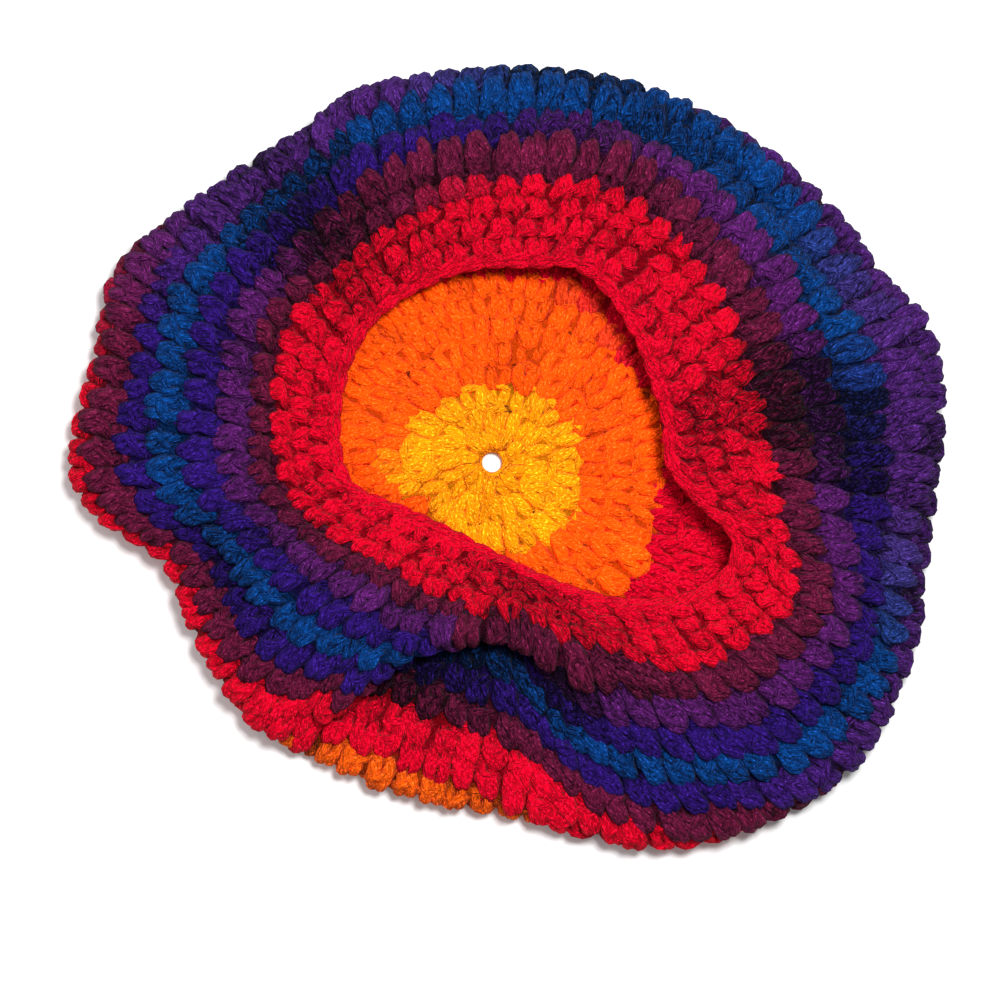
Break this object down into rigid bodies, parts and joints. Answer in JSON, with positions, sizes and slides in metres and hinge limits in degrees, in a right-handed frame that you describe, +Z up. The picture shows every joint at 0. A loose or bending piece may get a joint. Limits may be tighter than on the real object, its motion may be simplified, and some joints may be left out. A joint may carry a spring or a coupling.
{
  "type": "crochet beret",
  "caption": "Slouchy crocheted wool beret in rainbow stripes, lying flat with its head opening up and one pleat in its underside.",
  "frame": {"origin": "on the surface that the beret lies on, under the middle of its box", "axes": "+Z up out of the head opening, +X right and +Y away in plan, the pleat at the front left"},
  "size_m": [0.28, 0.2508, 0.0324],
  "materials": {
    "gold_yarn": "matt, slightly fuzzy plied yarn",
    "orange_yarn": "matt, slightly fuzzy plied yarn",
    "red_yarn": "matt, slightly fuzzy plied yarn",
    "burgundy_yarn": "matt, slightly fuzzy plied yarn",
    "purple_yarn": "matt, slightly fuzzy plied yarn",
    "indigo_yarn": "matt, slightly fuzzy plied yarn",
    "blue_yarn": "matt, slightly fuzzy plied yarn"
  },
  "bodies": {
    "root": {"centre_ring": "gold_yarn", "crown_gold": "gold_yarn", "crown_orange": "orange_yarn", "crown_red": "red_yarn", "crown_burgundy": "burgundy_yarn", "slouch_orange": "orange_yarn", "slouch_red": "red_yarn", "slouch_burgundy": "burgundy_yarn", "slouch_indigo": "indigo_yarn", "underside_blue": "blue_yarn", "underside_indigo": "indigo_yarn", "underside_purple": "purple_yarn", "underside_burgundy": "burgundy_yarn", "band_red": "red_yarn", "edging": "red_yarn"}
  },
  "joints": []
}
